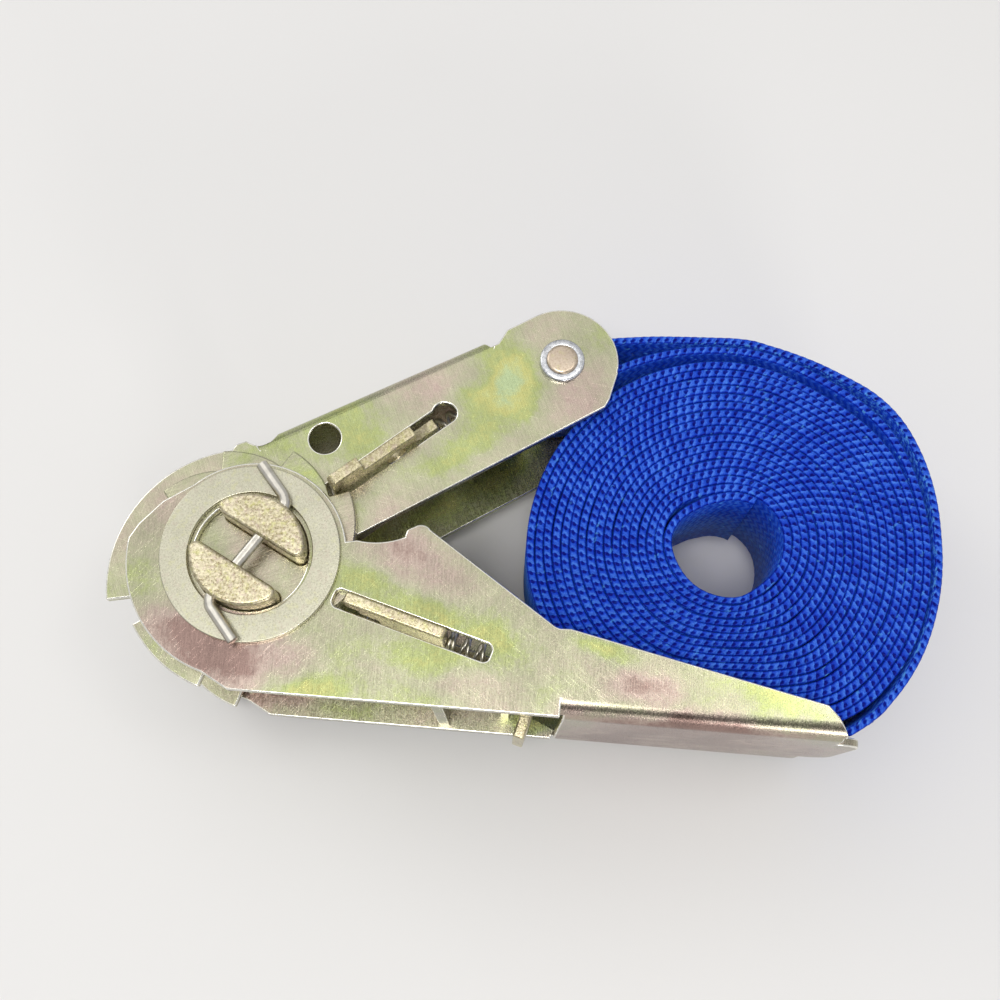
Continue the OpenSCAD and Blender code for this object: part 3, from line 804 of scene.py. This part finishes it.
def webbing():
    """The whole webbing as one woven strip, with its middle line, distances along it and normals."""
    line, at, thick = webbing_path()
    way = np.gradient(line, axis=0)
    way /= np.linalg.norm(way, axis=1, keepdims=True)
    out = np.stack([way[:, 1], -way[:, 0]], axis=1)
    # The strip isn't wound quite level
    lift = 0.12 * np.sin(at / 61.0) + 0.10 * np.sin(at / 23.7 + 1.0) + 0.05 * np.sin(at / 9.1)
    height = edge_height(at)
    place = line[:, None] + out[:, None] * (ACROSS * thick[:, None] / 2)[:, :, None]
    upper = np.dstack([place, WEB_W / 2 + lift[:, None] + height])
    lower = np.dstack([place, -(WEB_W / 2) + lift[:, None] - height])
    # Each ring runs across the upper edge, and back across the lower one
    rings = np.hstack([upper, lower[:, ::-1]])
    size = rings.shape[1]
    first = np.arange(len(at) - 1)[:, None] * size
    k = np.arange(size)
    following = (k + 1) % size
    quads = np.stack([first + k, first + size + k, first + size + following, first + following], axis=-1)
    faces = [tuple(q) for q in quads.reshape(-1, 4).tolist()]
    faces.append(tuple(range(size)))
    faces.append(tuple(range(len(at) * size - 1, (len(at) - 1) * size - 1, -1)))
    obj = mesh_object("webbing", rings.reshape(-1, 3), faces, WEAVE)
    mark_weave(obj.data, at)
    stand_for(obj, "strap")
    return obj, line, at, out


# One stitch: points (along, across, up) in shares of its size, and its faces
STITCH_POINTS = [
    (-1, 0, 0), (-0.6, -0.5, 0), (0.6, -0.5, 0), (1, 0, 0), (0.6, 0.5, 0), (-0.6, 0.5, 0),
    (-0.6, 0, 1), (0.6, 0, 1),
]
STITCH_FACES = [(0, 1, 6), (1, 2, 7, 6), (2, 3, 7), (3, 4, 7), (4, 5, 6, 7), (5, 0, 6), (5, 4, 3, 2, 1, 0)]
# Distances of the four rows of stitches along the webbing
STITCH_ROWS = (4.0, 7.0, 62.0, 65.0)


def stitching(line, at, out):
    """Rows of crossed lock stitches that sew the short end down, on its outer face."""
    points, faces = [], []
    up = np.array([0, 0, 1.0])
    for row in STITCH_ROWS:
        i = int(np.searchsorted(at, row))
        normal = np.array([*out[i], 0.0])
        along = np.array([-normal[1], normal[0], 0.0])
        for z in np.arange(-10.0, 10.1, 2.5):
            base = np.array([*line[i], z])
            for lean in (-1, 1):
                start = len(points)
                tilt = up + lean * 0.6 * along
                tilt /= np.linalg.norm(tilt)
                side = np.cross(tilt, normal)
                apart = along * lean * 0.1
                for a, b, c in STITCH_POINTS:
                    rise = WEB_T / 2 - 0.05 + 0.3 * c
                    points.append(base + normal * rise + tilt * 1.1 * a + side * 0.45 * b + apart)
                faces += [tuple(start + v for v in face) for face in STITCH_FACES]
    obj = mesh_object("strap_stitching", points, faces, THREAD)
    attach(obj, "strap")
    return obj


# ---- finishes ----

# A spot on a plate: its middle, its length and width, its degrees about Z, and its rise on FILM
FRAME_ZINC = zinc("frame_zinc", grain=-70.0, shade=0.93, level=0.48, patch=60.0, spots=[
    (41.2, 27.8, 20.0, 15.0, 75, 0.36), (42.2, 30.0, 8.5, 7.0, 70, 0.28), (20.0, 22.0, 15.0, 7.0, 30, 0.16),
    (27.0, 16.0, 18.0, 5.0, 28, 0.24), (15.0, 8.0, 10.0, 6.0, 40, 0.22), (31.0, 31.5, 13.0, 5.5, 28, -0.26),
    (54.0, 30.0, 12.0, 11.0, 0, -0.34), (42.0, 19.5, 10.0, 5.5, 25, -0.22),
])
HANDLE_ZINC = zinc("handle_zinc", grain=86.0, shade=0.82, level=0.48, patch=55.0, spots=[
    (-4.0, -15.5, 22.0, 9.5, -14, -0.50), (-15.0, -9.0, 10.0, 6.0, 60, -0.08),
    (26.0, -0.5, 16.0, 6.5, -30, -0.24), (24.0, -7.0, 17.0, 5.5, -22, 0.30),
    (39.0, -14.0, 9.0, 6.0, -60, 0.24), (26.0, -15.5, 18.0, 5.0, -20, 0.18),
    (33.0, -20.5, 11.0, 4.5, 0, -0.20), (57.0, -15.5, 12.0, 3.5, -14, 0.30),
    (62.0, -20.5, 12.0, 4.5, -8, -0.36), (48.0, -21.5, 9.0, 3.5, 0, 0.14),
    (11.0, -21.0, 12.0, 4.0, -6, 0.26), (80.0, -21.5, 15.0, 3.0, -18, 0.12),
    # The last spot, along the grip's bend and web, is darker towards mauve: partly the zinc's own rose film,
    # partly painted reflection and shade
    (70.0, -27.8, 46.0, 4.2, -3, -0.55),
])
WHEEL_ZINC = zinc("wheel_zinc", grain=20.0, shade=0.90, level=0.46, patch=90.0)
PAWL_ZINC = satin(
    "pawl_zinc", (0.36, 0.31, 0.18), (0.76, 0.69, 0.47), grain=2600.0, depth=0.06, rough=0.26, tints=0.45,
)
SHAFT = satin(
    "shaft_steel", (0.33, 0.28, 0.16), (0.76, 0.69, 0.50), grain=2300.0, depth=0.10, rough=0.28, tints=0.6,
)
WASHER = satin(
    "washer_steel", (0.46, 0.445, 0.34), (0.58, 0.56, 0.44), grain=3600.0, depth=0.02, rough=0.28, tints=0.22,
)
EDGE = bright("cut_edge", (0.93, 0.91, 0.82), rough=0.14)
STEEL = bright("bright_wire", (0.66, 0.63, 0.56), rough=0.26)
RING = satin(
    "ring_zinc", (0.46, 0.47, 0.49), (0.80, 0.81, 0.84), grain=2400.0, depth=0.06, rough=0.26, tints=0.05,
)
RIVET = satin(
    "rivet_steel", (0.50, 0.40, 0.30), (0.64, 0.54, 0.43), grain=3000.0, depth=0.02, rough=0.30, tints=0.25,
)
WEAVE = webbing_material()
THREAD = thread_material()


# ---- build ----

# Pieces cut or pressed from metal: node, finish, the finish, width and segments of its rounded edges,
# and the record's slot
CUT_PIECES = [
    ("frame", FRAME_ZINC, EDGE, 0.26, 3, "plates"),
    ("handle", HANDLE_ZINC, EDGE, 0.26, 3, "plates"),
    ("handle_cross_bar", HANDLE_ZINC, EDGE, 0.15, 2, "plates"),
    ("drive_spring_seat", PAWL_ZINC, EDGE, 0.12, 2, "pawls"),
    ("drive_pawl", PAWL_ZINC, PAWL_ZINC, 0.34, 3, "pawls"),
    ("lock_pawl", PAWL_ZINC, PAWL_ZINC, 0.24, 3, "pawls"),
    ("ratchet_wheel_top", WHEEL_ZINC, WHEEL_ZINC, 0.30, 3, "wheels"),
    ("ratchet_wheel_bottom", WHEEL_ZINC, WHEEL_ZINC, 0.30, 3, "wheels"),
]
# (radius, height) round the upper pin washer, and from the pin's upper end down to its shoulder. A
# bore too fine to see runs down the pin's middle, because turned() makes a ring.
PIN_WASHER = [
    (2.68, 15.02), (3.85, 15.02), (3.85, 15.6), (3.78, 15.86), (3.6, 16.0), (2.8, 16.12), (2.68, 16.06),
]
PIN_END = [(0.02, 16.4), (2.1, 16.38), (2.46, 16.3), (2.64, 16.12), (2.64, 15.02), (2.98, 14.98)]
SPLIT_PIN_Z = 21.8
FLOOR_REACH = 2000
FLOOR_COLOUR = (0.745, 0.735, 0.725)


def add_floor():
    """A wide plain floor at the part's lowest point."""
    material = Shader("floor_paper").finish(FLOOR_COLOUR, 0.0, 0.75)
    corners = [(x * FLOOR_REACH, y * FLOOR_REACH, 0) for x, y in ((-1, -1), (1, -1), (1, 1), (-1, 1))]
    floor = mesh_object("floor", corners, [(0, 1, 2, 3)], material, smooth=False)
    floor.location.z = cad_bounds[0][2]


add_camera()
set_world()
for light in LIGHTS:
    add_area_light(*light)
add_floor()

for piece in CUT_PIECES:
    finished(*piece)
half_shaft("spindle_half_upper", SLOT_DEG)
half_shaft("spindle_half_lower", SLOT_DEG + 180)
for side, place in ENDS:
    low, high = sorted((side * 19.5, side * 20.5))
    turned(
        "hub_washer_" + place, (0, 0), washer_section(9.95, 14.4, low, high, 0.18), WASHER,
        sides=128,
    )
    # A mirrored section is taken backwards, so that its faces still look outwards
    ring = [(r, side * z) for r, z in PIN_WASHER[::side]]
    turned("pin_washer_" + place, PIN, ring, RING, sides=96)
pin = [(r, -z) for r, z in PIN_END] + PIN_END[::-1]
turned("strap_pin", PIN, pin, RIVET, sides=96)

for side, place in ENDS:
    spring(
        "lock_spring_" + place, degrees=LOCK_SLIDE_DEG, start=33.0, end=51.5, across=1.9,
        z=8.5 * side, turns=9,
    )
    spring(
        "drive_spring_" + place, degrees=DRIVE_SLIDE_DEG, start=33.9, end=45.0, across=-1.35,
        z=12.6 * side, turns=6,
    )
    split_pin("split_pin_" + place, SPLIT_PIN_Z * side)

strap, strap_line, strap_at, strap_out = webbing()
stitches = stitching(strap_line, strap_at, strap_out)

bpy.context.scene.view_settings.view_transform = "Standard"
